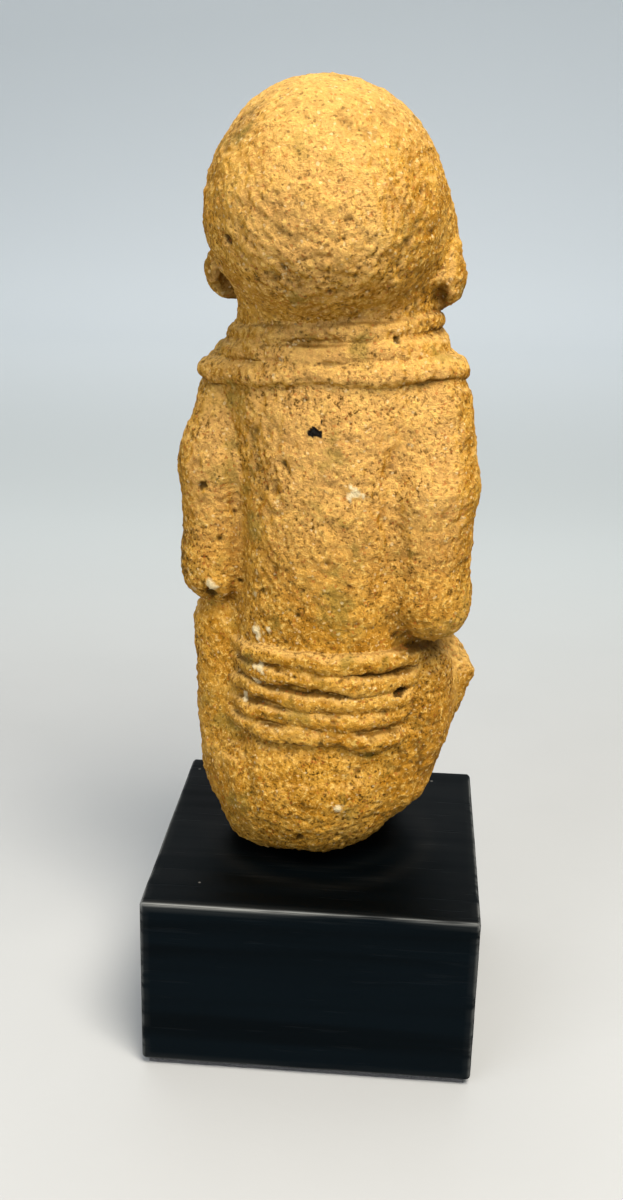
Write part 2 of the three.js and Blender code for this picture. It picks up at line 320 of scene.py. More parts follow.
def arm(points, label):
    side = SIDES[label]
    shoulder, upper, elbow = ARM_PLACES[label]
    distance = smooth_min(limb(points, *shoulder, *upper), limb(points, *upper, *elbow), 2)
    distance = smooth_min(distance, limb(points, elbow[0], 5.2, mirrored(side, WRIST), 3.8), 3)
    return smooth_min(distance, ellipsoid(points, mirrored(side, HAND), HAND_SIZE), 2)


def leg(points, label):
    side = SIDES[label]
    places = (HIP, KNEE, KNEE_CORNER, CALF, ANKLE, FOOT)
    hip, knee, knee_corner, calf, ankle, foot = (mirrored(side, place) for place in places)
    distance = limb(points, *HAUNCHES[label])
    distance = smooth_min(distance, limb(points, hip, 7.6, knee, 5.8), 4)
    distance = smooth_min(distance, limb(points, knee, 5.0, knee_corner, 1.7), 1.5)
    distance = smooth_min(distance, limb(points, knee_corner, 1.8, calf, 4), 1.5)
    distance = smooth_min(distance, limb(points, knee, 6.0, ankle, 4.4), 3)
    distance = smooth_min(distance, ellipsoid(points, foot, FOOT_SIZE), 3)
    return smooth_max(distance, -points[:, 2], 1.0)


# Height, radius and how steeply each coil rises towards the figure's own right.
NECK_RINGS = [(82.6, 1.5, 0.10), (80.0, 1.7, 0.07), (77.2, 1.9, 0.05)]
WAIST_RINGS = [(34.6 - 3.0 * i, 1.55, 0.0) for i in range(5)]
NECK_SINK, WAIST_SINK = 0.3, 0.0  # of its radius: how deep a coil's middle lies in the clay under it
WORN_AT, WORN_SPAN = 1.05, 0.35  # the angle, in radians from the back, where the belt is rubbed down


def coil(points, skin, height, radius, rise, sink, worn, seed):
    """A clay coil that lies round the skin at a height, pressed flat here and there."""
    angle = np.arctan2(points[:, 0], points[:, 1])
    wobble = 0.25 * np.sin(2 * angle + seed)
    wobble += 0.2 * np.sin(5 * angle + 2 * seed)
    wobble += 0.1 * np.sin(13 * angle + seed)
    thickness = radius * (1 + 0.08 * np.sin(3 * angle + 3 * seed) + 0.06 * np.sin(7 * angle + 5 * seed))
    thickness = thickness * (1 - worn * np.exp(-((angle - WORN_AT) / WORN_SPAN) ** 2))
    beside = points[:, 2] - height + rise * points[:, 0] - wobble
    return np.hypot(skin + sink * radius, beside) - thickness


FAR = 20.0  # the distance given where a member is too high or low to matter
REACH = 8.0  # how far above and below itself a member is measured
HEIGHTS = {"torso": (0, 90), "head": (80, 117), "ear": (86, 101), "arm": (31, 75), "leg": (0, 40),
           "eye": (96, 106), "nose": (92, 106), "mouth": (85, 97)}


def members(points):
    """The distance to each member of the figure, by name."""
    found = {}

    def measure(name, low, high, function, *arrays):
        near = (points[:, 2] > low - REACH) & (points[:, 2] < high + REACH)
        found[name] = np.full(len(points), FAR, dtype=np.float32)
        if near.any():
            found[name][near] = function(points[near], *(array[near] for array in arrays))

    measure("torso", *HEIGHTS["torso"], torso)
    measure("head", *HEIGHTS["head"], head)
    for label, side in SIDES.items():
        for form, function in (("ear", ear), ("arm", arm), ("leg", leg)):
            measure(f"{label}_{form}", *HEIGHTS[form], lambda near, f=function: f(near, label))
        measure(f"{label}_eye", *HEIGHTS["eye"], lambda near: eye(near, side))
    measure("nose", *HEIGHTS["nose"], nose)
    measure("mouth", *HEIGHTS["mouth"], mouth)
    shoulders = smooth_min(smooth_min(found["torso"], found["left_arm"], 3), found["right_arm"], 3)
    for form, skin, rings, sink, worn in (("neck_ring", shoulders, NECK_RINGS, NECK_SINK, 0.0),
                                          ("waist_ring", found["torso"], WAIST_RINGS, WAIST_SINK, 0.45)):
        for i, ring in enumerate(rings):
            measure(f"{form}_{i + 1}", ring[0], ring[0],
                    lambda near, under: coil(near, under, *ring, sink, worn, seed=i + ring[0]), skin)
    return found


BLENDS = {"head": 2.5, "arm": 1.8, "leg": 2.4, "ear": 1.5, "eye": 0.8, "nose": 1.2, "mouth": 0.8, "ring": 0.5}
PIECES = list(members(np.zeros((1, 3), dtype=np.float32)))


def separation(found, name):
    """Below zero where a member's own clay is nearer than any other's."""
    others = np.min([distance for other, distance in found.items() if other != name], axis=0)
    return (found[name] - others) / 2


def whole(found):
    """The figure's skin: every member, blended where it was pressed on."""
    skin = found["torso"]
    for name in PIECES[1:]:
        skin = smooth_min(skin, found[name], BLENDS[name.rstrip("_0123456789").split("_")[-1]])
    return skin


SOCKET_RADIUS = 4.5
SOCKET_DEPTH = 32.3


def drilled(points, skin):
    """The skin with the hole for the pin's sleeve, drilled from below."""
    socket = np.maximum(np.hypot(points[:, 0], points[:, 1]) - SOCKET_RADIUS, points[:, 2] - SOCKET_DEPTH)
    return np.maximum(skin, -socket)


REACH_LOW = np.array([-25.0, -25.0, -1.5])
REACH_HIGH = np.array([25.0, 25.0, 118.5])
BLOCK_CELLS = 8  # the grid is first searched in blocks of this many cells


def skin_at(points):
    points = points.astype(np.float32)
    return drilled(points, whole(members(points)))


SLOPE_STEP = 0.03


def measured(points, name):
    """The skin's distance and slope, and those of the wall between a member and its neighbours."""
    shifts = np.vstack([np.zeros(3), np.eye(3) * SLOPE_STEP])
    values = []
    for shift in shifts:
        moved = (points + shift).astype(np.float32)
        found = members(moved)
        values.append((drilled(moved, whole(found)), separation(found, name)))
    results = []
    for middle, *ahead in zip(*values):
        results += [middle, np.stack([(side - middle) / SLOPE_STEP for side in ahead], axis=1)]
    return results


def clay_grid():
    """The grid points near any surface, each distance there, and a table from grid place to row."""
    block = CELL * BLOCK_CELLS
    counts = np.ceil((REACH_HIGH - REACH_LOW) / block).astype(int)
    places = np.stack(np.meshgrid(*(np.arange(n) for n in counts), indexing="ij"), axis=-1).reshape(-1, 3)
    centres = ((places + 0.5) * block + REACH_LOW).astype(np.float32)
    found = members(centres)
    skin = drilled(centres, whole(found))
    reach = block * math.sqrt(3) / 2 * 1.35
    near = np.zeros(len(places), dtype=bool)
    for name in PIECES:
        near |= np.abs(np.maximum(skin, separation(found, name))) < reach
    size = counts * BLOCK_CELLS + 1
    wanted = np.zeros(size, dtype=bool)
    steps = np.arange(BLOCK_CELLS + 1)
    offsets = np.stack(np.meshgrid(steps, steps, steps, indexing="ij"), axis=-1).reshape(-1, 3)
    for offset in offsets:
        x, y, z = (places[near] * BLOCK_CELLS + offset).T
        wanted[x, y, z] = True
    rows = np.argwhere(wanted)
    table = np.full(size, -1, dtype=np.int32)
    table[wanted] = np.arange(len(rows))
    points = (rows * CELL + REACH_LOW).astype(np.float32)
    found = members(points)
    return rows, table, found, drilled(points, whole(found))


CORNERS = np.array([[i & 1, i >> 1 & 1, i >> 2 & 1] for i in range(8)])
EDGES = [(a, b) for a in range(8) for b in range(a + 1, 8) if bin(a ^ b).count("1") == 1]


def surface_net(rows, table, values):
    """Vertices in grid steps, their cells' corner rows, and faces, where values pass through zero."""
    near = np.abs(values) < 2.7 * CELL
    cells = rows[near]
    cells = cells[(cells < np.array(table.shape) - 1).all(axis=1)]
    corners = np.stack([table[tuple((cells + corner).T)] for corner in CORNERS], axis=1)
    complete = (corners >= 0).all(axis=1)
    cells, corners = cells[complete], corners[complete]
    inside = values[corners] < 0
    crossed = inside.any(axis=1) & ~inside.all(axis=1)
    cells, corners, inside = cells[crossed], corners[crossed], inside[crossed]
    at = values[corners]
    total = np.zeros((len(cells), 3))
    count = np.zeros(len(cells))
    for a, b in EDGES:
        cut = inside[:, a] != inside[:, b]
        share = np.where(cut, at[:, a] / np.where(cut, at[:, a] - at[:, b], 1), 0)
        place = CORNERS[a] + share[:, None] * (CORNERS[b] - CORNERS[a])
        total += place * cut[:, None]
        count += cut
    vertices = cells + total / count[:, None]
    number = np.full(table.shape, -1, dtype=np.int32)
    number[tuple(cells.T)] = np.arange(len(cells))
    faces = []
    for axis in range(3):
        ahead = np.eye(3, dtype=int)[axis]
        one, two = np.eye(3, dtype=int)[(axis + 1) % 3], np.eye(3, dtype=int)[(axis + 2) % 3]
        step = int(CORNERS.dot([1, 2, 4])[np.all(CORNERS == ahead, axis=1)][0])
        within = (cells[:, (axis + 1) % 3] > 0) & (cells[:, (axis + 2) % 3] > 0)
        cut = (inside[:, 0] != inside[:, step]) & within
        base = cells[cut]
        ring = np.stack([number[tuple((base - shift).T)] for shift in (one * 0, one, one + two, two)], axis=1)
        ring = np.where(inside[cut, 0][:, None], ring, ring[:, ::-1])
        faces.append(ring[(ring >= 0).all(axis=1)])
    return vertices, corners, np.concatenate(faces)


def without_crumbs(count, faces, fewest=60):
    """True for each face of the connected parts that have at least the fewest faces."""
    label = np.arange(count)
    while True:
        lowest = label[faces].min(axis=1)
        new = label.copy()
        for column in range(4):
            np.minimum.at(new, faces[:, column], lowest)
        new = new[new]
        if (new == label).all():
            break
        label = new
    part = label[faces[:, 0]]
    return np.bincount(part, minlength=count)[part] >= fewest


# ---- Grain, pits and wear of the clay ----

# Single marks: place, radius and depth in millimetres, where a depth below zero stands proud.
HOLES = [
    ((16.0, 12.6, 41.6), 1.2, 1.4),
    ((8.7, 12.2, 95.0), 0.8, 1.3),
    ((16.2, 12.4, 59.1), 0.8, 0.9),
    ((-14.4, 9.6, 30.0), 0.9, 0.9),
    ((-1.0, 14.6, 6.0), 0.8, 0.7),
]
QUARTZ = [
    ((-7.9, 14.2, 60.9), 0.8, -0.3),
    ((7.3, 13.2, 37.7), 1.0, -0.35),
    ((5.1, 13.6, 38.6), 0.6, -0.2),
    ((6.3, 13.6, 32.6), 0.7, -0.3),
    ((6.7, 13.4, 30.4), 0.6, -0.3),
    ((9.3, 12.4, 26.8), 0.6, -0.2),
    ((-7.0, 13.8, 12.0), 0.7, -0.3),
    ((15.4, 12.4, 43.6), 0.8, -0.5),
]
BLACK_STONES = [((-1.9, 14.6, 69.4), 1.0, -0.35), ((-2.6, 14.6, 69.1), 0.7, -0.2)]


def near_marks(points, marks):
    """For each mark on the back, how near the points are to it: 1 at its middle, 0 beyond its rim."""
    ragged = 1 + 0.6 * noise(points, 0.6, 71)
    facing = points[:, 1] > 0
    for place, radius, depth in marks:
        away = np.hypot(points[:, 0] - place[0], points[:, 2] - place[2]) * ragged
        yield np.clip(1 - (away / radius) ** 2, 0, 1) * facing, depth


def inclusions(points):
    """1 on quartz grains, -1 on black stones and 0 on clay."""
    pale = np.max([near for near, _ in near_marks(points, QUARTZ)], axis=0)
    black = np.max([near for near, _ in near_marks(points, BLACK_STONES)], axis=0)
    return np.clip(3 * pale, 0, 1) - np.clip(3 * black, 0, 1)


def pits(points, size, seed, share, width, depth):
    """Round pits, or with a depth below zero grains, at a share of the scattered places."""
    distance, value = nearest_grain(points, size, seed)
    chosen = np.clip((value - 1 + 2 * share) / (2 * share), 0, 1)
    radius = width / size * (0.5 + 0.5 * chosen)
    bowl = np.clip(1 - (distance / radius) ** 2, 0, 1)
    return -depth * np.where(value > 1 - 2 * share, bowl * (0.5 + 0.5 * chosen), 0)


# Soft furrows left by the fingers: two ends as X and Z, half-width and depth.
FURROWS = [
    ((9.6, 19.0), (7.4, 12.6), 1.6, 0.55),
    ((3.6, 15.2), (-10.6, 16.8), 1.4, 0.45),
    ((10.2, 41.0), (12.0, 66.0), 1.2, 0.35),
    ((-11.4, 40.0), (-12.4, 66.0), 1.2, 0.35),
]


def furrows(points):
    """How deep the soft furrows on the figure's back are at each place."""
    places = points[:, [0, 2]]
    total = np.zeros(len(points))
    for start, end, half_width, depth in FURROWS:
        along = np.subtract(end, start)
        share = np.clip((places - start).dot(along) / along.dot(along), 0, 1)
        away = length(places - start - share[:, None] * along)
        total += depth * np.exp(-(away / half_width) ** 2)
    return total * (points[:, 1] > 0)


def relief(points):
    """How far the clay's surface stands proud of its smooth shape."""
    smooth_crown = np.clip((points[:, 2] - 101) / 9, 0, 1)
    rough = 1 - 0.45 * smooth_crown
    height = 0.30 * noise(points, 8, 1) + 0.15 * noise(points, 4.0, 2)
    height += rough * (0.13 * noise(points, 2.0, 3) + 0.16 * noise(points, 1.05, 4))
    height += rough * 0.15 * noise(points, 0.62, 5)
    height += rough * pits(points, 3.1, 11, 0.25, 0.75, 0.55)
    height += rough * pits(points, 1.5, 15, 0.45, 0.45, 0.42)
    height += pits(points, 2.1, 19, 0.3, 0.45, -0.22)
    for near, depth in near_marks(points, HOLES + QUARTZ + BLACK_STONES):
        height -= depth * near
    return height


def hollows(points, normals):
    """How shut in each place is, from 0 in the open to 1; the clay is painted darker there, as painted shade.
    """
    near = 1 - np.clip(skin_at(points + 1.5 * normals) / 1.5, 0, 1)
    far = 1 - np.clip(skin_at(points + 5 * normals) / 5, 0, 1)
    return 0.5 * near + 0.5 * far


# ---- The clay members as meshes ----


def settle(points, name, on_skin, on_wall):
    """Moves points on to the skin, the wall to the next member or the seam of both, and gives normals."""
    for _ in range(2):
        skin, skin_slope, wall, wall_slope = measured(points, name)
        a = (skin_slope * skin_slope).sum(axis=1) + 1e-3
        b = (skin_slope * wall_slope).sum(axis=1)
        c = (wall_slope * wall_slope).sum(axis=1) + 1e-3
        shared = a * c - b * b + 1e-3
        both = on_skin & on_wall
        skin_share = np.where(both, (c * skin - b * wall) / shared, np.where(on_skin, skin / a, 0))
        wall_share = np.where(both, (a * wall - b * skin) / shared, np.where(on_skin, 0, wall / c))
        move = skin_share[:, None] * skin_slope + wall_share[:, None] * wall_slope
        size = length(move)
        points = points - move * (np.minimum(size, 0.6 * CELL) / np.maximum(size, 1e-9))[:, None]
    return points, skin_slope / np.maximum(length(skin_slope), 1e-6)[:, None]


def to_world(points):
    """From the figure's frame in millimetres to the part's frame in metres."""
    turned = points.copy()
    turned[:, 0] = points[:, 0] * math.cos(FIGURE_TURN) - points[:, 1] * math.sin(FIGURE_TURN)
    turned[:, 1] = points[:, 0] * math.sin(FIGURE_TURN) + points[:, 1] * math.cos(FIGURE_TURN)
    turned[:, 2] += BLOCK_TOP + FIGURE_GAP
    return turned * MM


def mesh_object(name, vertices, faces):
    mesh = bpy.data.meshes.new(name)
    mesh.vertices.add(len(vertices))
    mesh.vertices.foreach_set("co", vertices.astype(np.float32).ravel())
    sides = faces.shape[1]
    mesh.loops.add(len(faces) * sides)
    mesh.loops.foreach_set("vertex_index", faces.astype(np.int32).ravel())
    mesh.polygons.add(len(faces))
    mesh.polygons.foreach_set("loop_start", np.arange(len(faces), dtype=np.int32) * sides)
    mesh.update(calc_edges=True)
    mesh.validate()
    mesh.shade_smooth()
    piece = bpy.data.objects.new(name, mesh)
    bpy.context.collection.objects.link(piece)
    return piece


def set_attribute(mesh, name, values):
    mesh.attributes.new(name, "FLOAT", "POINT").data.foreach_set("value", values.astype(np.float32))


def mark_sharp(mesh, wall_face):
    """A sharp edge wherever the outer skin meets a wall between members."""
    edge_of_loop = np.empty(len(mesh.loops), dtype=np.int32)
    mesh.loops.foreach_get("edge_index", edge_of_loop)
    side = np.repeat(wall_face, 4)
    has_wall = np.zeros(len(mesh.edges), dtype=bool)
    has_skin = np.zeros(len(mesh.edges), dtype=bool)
    has_wall[edge_of_loop[side]] = True
    has_skin[edge_of_loop[~side]] = True
    mesh.attributes.new("sharp_edge", "BOOLEAN", "EDGE").data.foreach_set("value", has_wall & has_skin)


def clay_piece(name, grid):
    rows, table, found, skin = grid
    wall = separation(found, name)
    places, corners, faces = surface_net(rows, table, np.maximum(skin, wall))
    faces = faces[without_crumbs(len(places), faces)]
    used = np.unique(faces)
    faces = np.searchsorted(used, faces)
    places, corners = places[used], corners[used]
    points = places * CELL + REACH_LOW
    crosses = [(np.min(f[corners], axis=1) < 0) & (np.max(f[corners], axis=1) >= 0) for f in (skin, wall)]
    on_skin, on_wall = crosses
    points, normals = settle(points, name, on_skin, on_wall)
    outside = np.hypot(points[:, 0], points[:, 1]) > SOCKET_RADIUS + 0.5
    grain = relief(points)
    height = np.where(on_skin & outside, grain - furrows(points), 0)
    height = np.maximum(height, -points[:, 2])
    hollow = hollows(points, normals)
    piece = mesh_object(name + "_clay", to_world(points + height[:, None] * normals), faces)
    set_attribute(piece.data, "hollow", hollow)
    set_attribute(piece.data, "relief", grain)
    set_attribute(piece.data, "inclusion", np.where(on_skin, inclusions(points), 0))
    only_wall = (on_wall & ~on_skin)[faces].any(axis=1)
    mark_sharp(piece.data, only_wall)
    return piece


def clay_figure(material):
    grid = clay_grid()
    for name in PIECES:
        piece = clay_piece(name, grid)
        piece.data.materials.append(material)
        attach(piece, "figure")
        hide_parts(name)


# ---- Materials ----


def linear(hex_colour):
    parts = [int(hex_colour[i:i + 2], 16) / 255 for i in (1, 3, 5)]
    return [p / 12.92 if p <= 0.04045 else ((p + 0.055) / 1.055) ** 2.4 for p in parts] + [1]


class Shader:
    """A material and short ways to add nodes to it. Places are in metres in the part's frame."""

    def __init__(self, name, colour, roughness, **more):
        self.material = bpy.data.materials.new(name)
        self.material.use_nodes = True
        self.tree = self.material.node_tree
        self.surface = self.tree.nodes["Principled BSDF"]
        self.place = self.add("ShaderNodeTexCoord").outputs["Object"]
        for socket, value in {"Base Color": linear(colour), "Roughness": roughness, **more}.items():
            self.surface.inputs[socket].default_value = value

    def add(self, kind, inputs=(), **settings):
        node = self.tree.nodes.new(kind)
        for name, value in settings.items():
            setattr(node, name, value)
        for name, value in dict(inputs).items():
            if isinstance(value, bpy.types.NodeSocket):
                self.tree.links.new(value, node.inputs[name])
            else:
                node.inputs[name].default_value = value
        return node

    def stretched(self, x, y, z):
        return self.add("ShaderNodeMapping", {"Vector": self.place, "Scale": (x, y, z)}).outputs["Vector"]

    def noise(self, size, detail=2, roughness=0.5, place=None):
        """Noise from 0 to 1 with lumps of about size metres."""
        inputs = {"Vector": place or self.place, "Scale": 1 / size, "Detail": detail, "Roughness": roughness}
        return self.add("ShaderNodeTexNoise", inputs).outputs["Fac"]

    def grains(self, size, output="Color", place=None, **settings):
        inputs = {"Vector": place or self.place, "Scale": 1 / size}
        return self.add("ShaderNodeTexVoronoi", inputs, **settings).outputs[output]

    def attribute(self, name):
        return self.add("ShaderNodeAttribute", attribute_name=name).outputs["Fac"]

    def span(self, value, low, high, start=0.0, end=1.0):
        """Start where the value is low, end where it is high, and between them in proportion."""
        inputs = {"Value": value, "From Min": low, "From Max": high, "To Min": start, "To Max": end}
        return self.add("ShaderNodeMapRange", inputs, interpolation_type="SMOOTHSTEP").outputs["Result"]

    def math(self, operation, a, b=0.0):
        node = self.add("ShaderNodeMath", {0: a, 1: b}, operation=operation)
        return node.outputs["Value"]

    def mix(self, share, a, b, blend="MIX"):
        node = self.add("ShaderNodeMix", data_type="RGBA", blend_type=blend)
        for index, value in ((0, share), (6, a), (7, b)):
            if isinstance(value, str):
                value = linear(value)
            if isinstance(value, bpy.types.NodeSocket):
                self.tree.links.new(value, node.inputs[index])
            else:
                node.inputs[index].default_value = value
        return node.outputs[2]

    def part(self, colour, channel):
        return self.add("ShaderNodeSeparateColor", {"Color": colour}).outputs[channel]

    def connect(self, socket, value):
        self.tree.links.new(value, self.surface.inputs[socket])

    def bump(self, height, depth, strength=1.0):
        inputs = {"Height": height, "Distance": depth, "Strength": strength}
        self.connect("Normal", self.add("ShaderNodeBump", inputs).outputs["Normal"])


def clay_material():
    """Ochre earthenware full of sand: paler where it is worn, darker in pits, with quartz and dark specks,
    painted highlight on the upper back and on upward faces, and painted shade where it is shut in.
    """
    clay = Shader("fired_clay", "#bf8a36", 0.8, **{"Specular IOR Level": 0.12})
    blotch = clay.noise(0.011, 3, 0.55)
    mottle = clay.noise(0.0024, 4, 0.65)
    fine = clay.noise(0.00065, 4, 0.7)
    sand = clay.grains(0.00036)
    sand_value = clay.part(sand, "Red")
    relief_height = clay.attribute("relief")
    hollow = clay.attribute("hollow")
    inclusion = clay.attribute("inclusion")
    facing = clay.add("ShaderNodeNewGeometry").outputs["Normal"]
    upward = clay.part(facing, "Blue")
    backward = clay.part(facing, "Green")
    above = clay.add("ShaderNodeSeparateXYZ", {"Vector": clay.place}).outputs["Z"]
    colour = clay.mix(clay.span(mottle, 0.34, 0.66), "#a66f10", "#cb9534")
    colour = clay.mix(clay.span(blotch, 0.52, 0.72, 0, 0.6), colour, "#d3a248")
    colour = clay.mix(clay.span(blotch, 0.47, 0.34, 0, 0.6), colour, "#a4701a")
    # Painted highlight: the upper back, which faces the key lamp, is painted paler.
    rubbed = clay.math("MULTIPLY", clay.span(above, 0.065, 0.095), clay.span(backward, 0.6, 0.97, 0, 0.45))
    colour = clay.mix(rubbed, colour, "#e8ba76")
    # Painted highlight: upward-facing clay is painted paler, as if lit from above.
    colour = clay.mix(clay.span(upward, 0.15, 0.85, 0, 0.5), colour, "#e6bd72")
    colour = clay.mix(clay.span(fine, 0.53, 0.66, 0, 0.85), colour, "#e9bf66")
    gritty = clay.math("MULTIPLY", clay.span(clay.noise(0.009, 3), 0.38, 0.62, 0.25, 1),
                       clay.span(above, 0.118, 0.140, 1, 0.4))
    specks = clay.math("MULTIPLY", clay.span(fine, 0.48, 0.36), gritty)
    colour = clay.mix(specks, colour, "#563a08")
    colour = clay.mix(clay.span(relief_height, 0.08, 0.50, 0, 0.4), colour, "#dbac52")
    colour = clay.mix(clay.span(relief_height, -0.10, -0.55, 0, 0.85), colour, "#46300b")
    # Painted shade: shut-in places are painted darker.
    colour = clay.mix(clay.span(hollow, 0.22, 0.75, 0, 0.85), colour, "#6b4506")
    stain = clay.noise(0.006, 3, 0.6)
    colour = clay.mix(clay.span(stain, 0.57, 0.71, 0, 0.5), colour, "#80702c")
    colour = clay.mix(clay.span(sand_value, 0.972, 0.99, 0, 0.4), colour, "#ead3a0")
    colour = clay.mix(clay.span(clay.part(sand, "Green"), 0.94, 0.98, 0, 0.5), colour, "#35220c")
    colour = clay.mix(clay.span(clay.part(sand, "Blue"), 0.96, 0.985, 0, 0.5), colour, "#a4561f")
    quartz = clay.grains(0.0052)
    near_quartz = clay.math("ADD", clay.grains(0.0052, "Distance"), clay.math("MULTIPLY", fine, 0.2))
    quartz_share = clay.math("MULTIPLY", clay.span(clay.part(quartz, "Red"), 0.90, 0.94),
                             clay.span(near_quartz, 0.23, 0.15, 0, 0.8))
    colour = clay.mix(clay.math("MAXIMUM", quartz_share, inclusion), colour, "#e4cf9f")
    black = clay.span(inclusion, -0.3, -0.9)
    colour = clay.mix(black, colour, "#0b0806")
    clay.connect("Base Color", colour)
    dull = clay.span(fine, 0.3, 0.7, 0.95, 0.66)
    clay.connect("Roughness", clay.math("MULTIPLY", dull, clay.span(black, 0, 1, 1, 0.12)))
    height = clay.math("ADD", fine, clay.math("MULTIPLY", sand_value, 0.2))
    clay.bump(height, 0.0009, 1.0)
    return clay.material


def wood_material():
    """Fine-pored wood, stained and waxed black, its grain along X; its top is painted darker than its sides,
    as painted shade.
    """
    wood = Shader("ebonised_wood", "#05080a", 0.5, **{"Specular IOR Level": 0.04})
    along = wood.stretched(0.05, 1, 1)
    pores = wood.noise(0.0007, 2, 0.6, along)
    bands = wood.noise(0.004, 3, 0.5, along)
    dust = wood.grains(0.006)
    near_dust = wood.grains(0.006, "Distance")
    worn = wood.attribute("edge")
    scuffs = wood.attribute("scuff")
    open_pore = wood.span(pores, 0.63, 0.72)
    colour = wood.mix(wood.span(bands, 0.35, 0.65), "#010508", "#030a0f")
    colour = wood.mix(wood.math("MULTIPLY", open_pore, 0.18), colour, "#161b1f")
    colour = wood.mix(wood.math("MULTIPLY", scuffs, wood.span(pores, 0.4, 0.6, 0.2, 0.6)), colour, "#2e2d2a")
    dusty = wood.span(wood.part(dust, "Red"), 0.86, 0.9)
    fleck = wood.math("MULTIPLY", dusty, wood.span(near_dust, 0.05, 0.03))
    colour = wood.mix(fleck, colour, "#a7a49c")
    patchy = wood.noise(0.003, 4, 0.7, along)
    # Pale edge line: wear along every arris, with painted highlight on the top arris on the side of the
    # figure's back.
    colour = wood.mix(wood.math("MULTIPLY", worn, wood.span(patchy, 0.36, 0.56)), colour, "#8d8f8c")
    # Painted shade: the upward-facing top is painted darker than the sides.
    upward = wood.part(wood.add("ShaderNodeNewGeometry").outputs["Normal"], "Blue")
    colour = wood.mix(wood.span(upward, 0.6, 0.95, 0, 0.7), colour, "#000101")
    wood.connect("Base Color", colour)
    wood.connect("Roughness", wood.span(bands, 0.3, 0.7, 0.40, 0.55))
    wood.bump(wood.math("SUBTRACT", wood.math("MULTIPLY", bands, 0.2), open_pore), 0.00008, 0.5)
    return wood.material


def felt_material():
    felt = Shader("black_felt", "#15161a", 0.95, **{"Sheen Weight": 0.6, "Sheen Roughness": 0.5})
    fibres = felt.noise(0.0004, 4, 0.8, felt.stretched(1, 1, 2))
    felt.connect("Base Color", felt.mix(felt.span(fibres, 0.35, 0.7), "#0d0e11", "#2b2d33"))
    felt.bump(fibres, 0.0003)
    return felt.material


def steel_material():
    steel = Shader("pin_steel", "#8f9294", 0.3, Metallic=1.0)
    turning = steel.noise(0.0006, 3, 0.6, steel.stretched(0.3, 0.3, 4))
    steel.connect("Base Color", steel.mix(steel.span(turning, 0.3, 0.7), "#7c7f82", "#a9acae"))
    steel.connect("Roughness", steel.span(turning, 0.3, 0.7, 0.22, 0.42))
    steel.bump(turning, 0.00005, 0.4)
    return steel.material


def brass_material():
    brass = Shader("sleeve_brass", "#b08d45", 0.35, Metallic=1.0)
    tarnish = brass.noise(0.002, 4, 0.6)
    brass.connect("Base Color", brass.mix(brass.span(tarnish, 0.35, 0.7), "#c4a055", "#7d6230"))
    brass.connect("Roughness", brass.span(tarnish, 0.3, 0.7, 0.28, 0.5))
    brass.bump(tarnish, 0.00004, 0.4)
    return brass.material


def plaster_material():
    plaster = Shader("socket_plaster", "#d8d3c6", 0.9)
    cast = plaster.noise(0.0012, 4, 0.6)
    bubbles = plaster.grains(0.0012, "Distance")
    plaster.connect("Base Color", plaster.mix(plaster.span(cast, 0.3, 0.7), "#c3bcab", "#e4dfd3"))
    plaster.bump(plaster.span(bubbles, 0.1, 0.2), 0.0002, 0.5)
    return plaster.material


# ---- The block, its felt and the hidden fittings ----

ARRIS_RADIUS = 0.7
BLOCK_STEP = 0.9
FELT_ROUNDING = 0.25
FELT_STEP = 0.8


def line_of_places(half, radius, step):
    """Places along a side from -half to half, close together round both rounded ends."""
    turn = [half - radius * (1 - math.sin(angle)) for angle in np.linspace(0, math.pi / 2, 5)]
    inner = half - radius
    middle = np.linspace(-inner, inner, max(2, round(2 * inner / step)))[1:-1]
    return np.array([-place for place in reversed(turn)] + list(middle) + turn)


def rounded_box(half, radius, step):
    """The points and small four-sided faces of a box about the origin, close together at its edges."""
    lines = [line_of_places(side, radius, step) for side in half]
    points, faces = [], []
    for axis in range(3):
        across, up = (axis + 1) % 3, (axis + 2) % 3
        for side in (-1, 1):
            sheet = np.zeros((len(lines[across]), len(lines[up]), 3))
            sheet[..., axis] = side * half[axis]
            sheet[..., across] = lines[across][:, None]
            sheet[..., up] = lines[up][None, :]
            start = sum(len(grid) for grid in points)
            number = np.arange(sheet.shape[0] * sheet.shape[1]).reshape(sheet.shape[:2]) + start
            ring = np.stack([number[:-1, :-1], number[1:, :-1], number[1:, 1:], number[:-1, 1:]], axis=-1)
            faces.append(ring.reshape(-1, 4)[:, ::side])
            points.append(sheet.reshape(-1, 3))
    points, faces = np.concatenate(points), np.concatenate(faces)
    _, first, merged = np.unique(np.round(points, 5), axis=0, return_index=True, return_inverse=True)
    return points[first], merged.reshape(-1)[faces]


